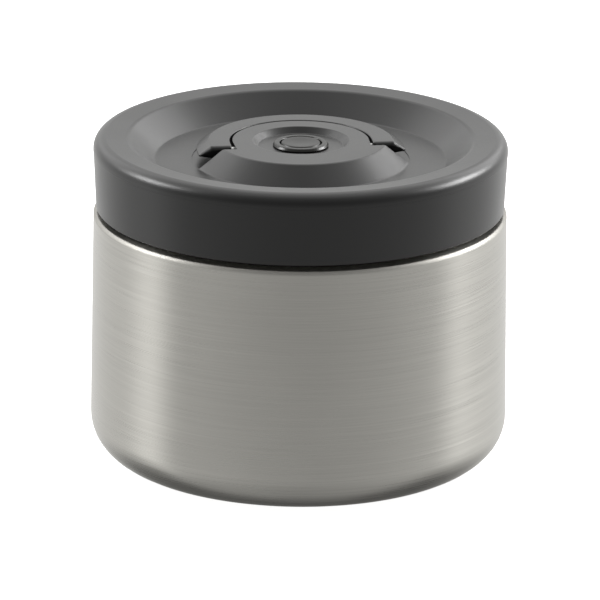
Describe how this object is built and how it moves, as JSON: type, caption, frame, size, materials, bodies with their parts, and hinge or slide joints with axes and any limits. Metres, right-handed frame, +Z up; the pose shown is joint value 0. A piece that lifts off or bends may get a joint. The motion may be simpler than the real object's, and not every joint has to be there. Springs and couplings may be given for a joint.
{
  "type": "insulated food jar",
  "caption": "Round double-walled steel food jar with a screw-on insulated lid, a folding carrying handle set into the lid and a press-to-vent button.",
  "frame": {"origin": "centre of the standing ring, on the table", "axes": "+Z up along the pot's axis, +X along the handle's pins, +Y towards the half of the hub that is the folded handle"},
  "size_m": [0.13, 0.13, 0.1021],
  "materials": {
    "brushed_steel": "stainless steel, fine brushing round the pot",
    "inner_steel": "stainless steel, polished inside",
    "base_steel": "stainless steel, turned finish",
    "bead_glass": "fused sealing glass",
    "getter_metal": "pressed metal powder",
    "aluminium_foil": "bright foil",
    "gasket_silicone": "translucent silicone",
    "lid_plastic": "satin moulded dark grey",
    "liner_plastic": "smooth moulded grey",
    "insulating_foam": "closed-cell foam",
    "handle_plastic": "satin moulded dark grey",
    "pin_steel": "drawn stainless steel",
    "bezel_plastic": "satin moulded grey",
    "button_plastic": "satin moulded grey"
  },
  "bodies": {
    "pot": {"outer_shell": "brushed_steel", "inner_pot": "inner_steel", "base_plate": "base_steel", "vacuum_bead": "bead_glass", "getter": "getter_metal", "radiation_foil": "aluminium_foil"},
    "seal": {"lid_gasket": "gasket_silicone"},
    "lid": {"lid_shell": "lid_plastic", "lid_liner": "liner_plastic", "lid_foam": "insulating_foam", "vent_bezel": "bezel_plastic", "handle_pin_left": "pin_steel", "handle_pin_right": "pin_steel", "valve_spring": "pin_steel"},
    "handle": {"carry_handle": "handle_plastic"},
    "valve": {"vent_button": "button_plastic", "valve_stem": "liner_plastic", "valve_seal": "gasket_silicone"}
  },
  "joints": [
    {"name": "lid_lift", "type": "slide", "parent": "pot", "child": "seal", "axis": [0, 0, 1], "range_m": [0, 0.06]},
    {"name": "lid_turn", "type": "hinge", "parent": "seal", "child": "lid", "pos_m": [0, 0, 0.0799], "axis": [0, 0, 1], "range_deg": [0, 90]},
    {"name": "handle_fold", "type": "hinge", "parent": "lid", "child": "handle", "pos_m": [0, -0.0019, 0.0986], "axis": [1, 0, 0], "range_deg": [0, 90]},
    {"name": "vent_press", "type": "slide", "parent": "lid", "child": "valve", "axis": [0, 0, -1], "range_m": [0, 0.0016], "stiffness_N_per_m": 300, "springref_m": -0.002, "deforming": ["valve_spring"]}
  ]
}
